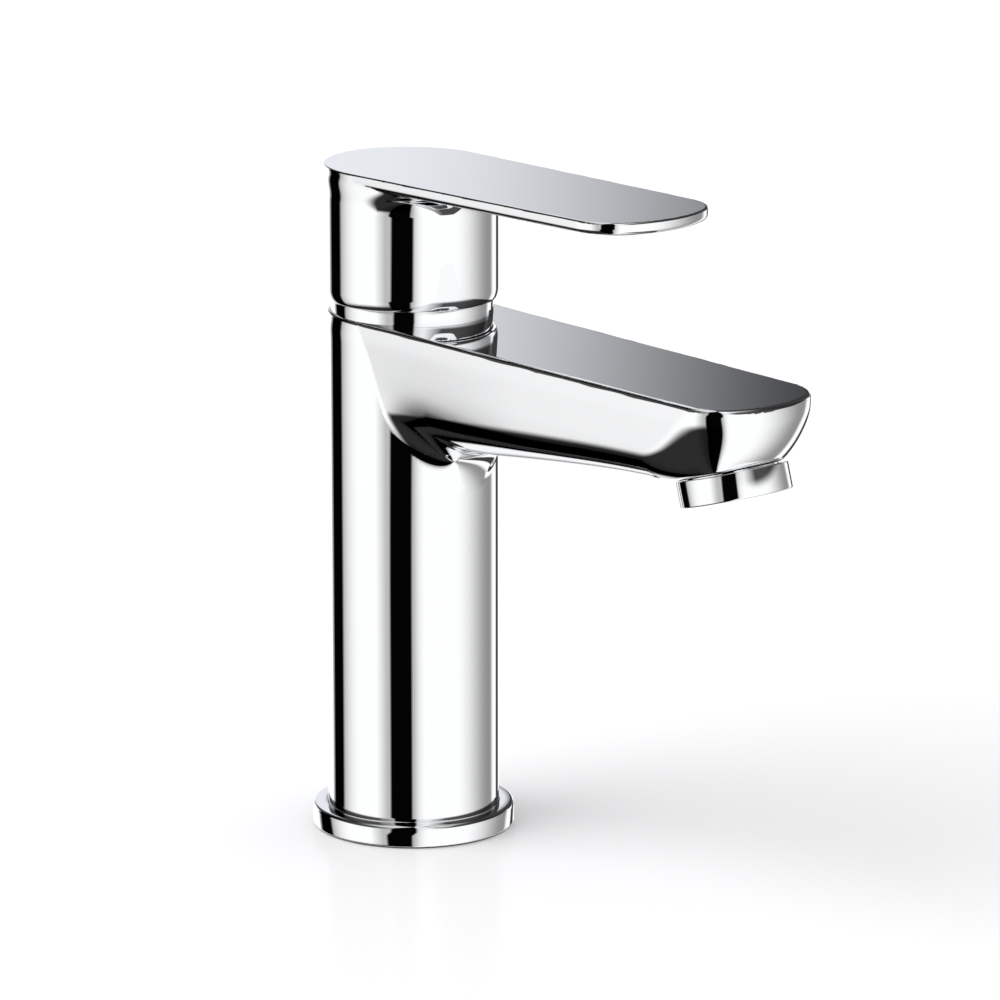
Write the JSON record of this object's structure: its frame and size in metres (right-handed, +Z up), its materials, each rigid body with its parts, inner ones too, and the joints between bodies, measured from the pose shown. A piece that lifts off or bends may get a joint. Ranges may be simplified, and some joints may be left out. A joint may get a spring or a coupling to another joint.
{
  "type": "single lever basin mixer tap",
  "caption": "Bathroom basin mixer: one lever on top of a round column sets flow and temperature, water leaves a fixed swept spout through an aerator.",
  "frame": {"origin": "centre of the base gasket's underside, on the column's axis, where the tap stands on the basin or deck", "axes": "+Z up along the column, +X along the spout and the lever at rest, +Y to the cold side"},
  "size_m": [0.1569, 0.053, 0.1764],
  "materials": {
    "polished_chrome": "mirror polished",
    "brass": "turned, unplated",
    "steel": "turned stainless",
    "black_rubber": "matte",
    "cartridge_plastic": "moulded",
    "yoke_plastic": "moulded, glass filled",
    "slide_plastic": "smooth",
    "disc_ceramic": "lapped alumina ceramic",
    "plug_plastic": "gloss",
    "screen_plastic": "moulded"
  },
  "bodies": {
    "root": {"tap_body": "polished_chrome", "base_flange": "polished_chrome", "base_gasket": "black_rubber", "flange_o_ring": "black_rubber", "inlet_adapter_hot": "brass", "inlet_adapter_cold": "brass", "inlet_seals": "black_rubber", "cartridge_base": "cartridge_plastic", "port_seals": "black_rubber", "fixed_disc": "disc_ceramic", "cartridge_housing": "cartridge_plastic", "housing_o_ring": "black_rubber", "slide_ring": "slide_plastic", "cartridge_nut": "brass", "dome_ring": "polished_chrome", "aerator_housing": "polished_chrome", "aerator_gasket": "black_rubber", "flow_regulator": "cartridge_plastic", "aerator_insert": "cartridge_plastic", "aerator_screen": "screen_plastic"},
    "rotor": {"swivel_yoke": "yoke_plastic", "pivot_pin": "steel"},
    "lever": {"handle": "polished_chrome", "spindle": "brass", "grub_screw": "steel", "indicator_plug": "plug_plastic"},
    "slider": {"moving_disc": "disc_ceramic", "disc_carrier": "cartridge_plastic"}
  },
  "joints": [
    {"name": "lever_turn", "type": "hinge", "parent": "root", "child": "rotor", "pos_m": [0, 0, 0.1309], "axis": [0, 0, 1], "range_deg": [-45, 45]},
    {"name": "lever_lift", "type": "hinge", "parent": "rotor", "child": "lever", "pos_m": [0, 0, 0.1309], "axis": [0, -1, 0], "range_deg": [0, 24]},
    {"name": "disc_slide", "type": "slide", "parent": "rotor", "child": "slider", "axis": [1, 0, 0], "range_m": [0, 0.0038]}
  ],
  "couplings": [
    {"joint": "disc_slide", "follows": "lever_lift", "m_per_rad": 0.009}
  ]
}
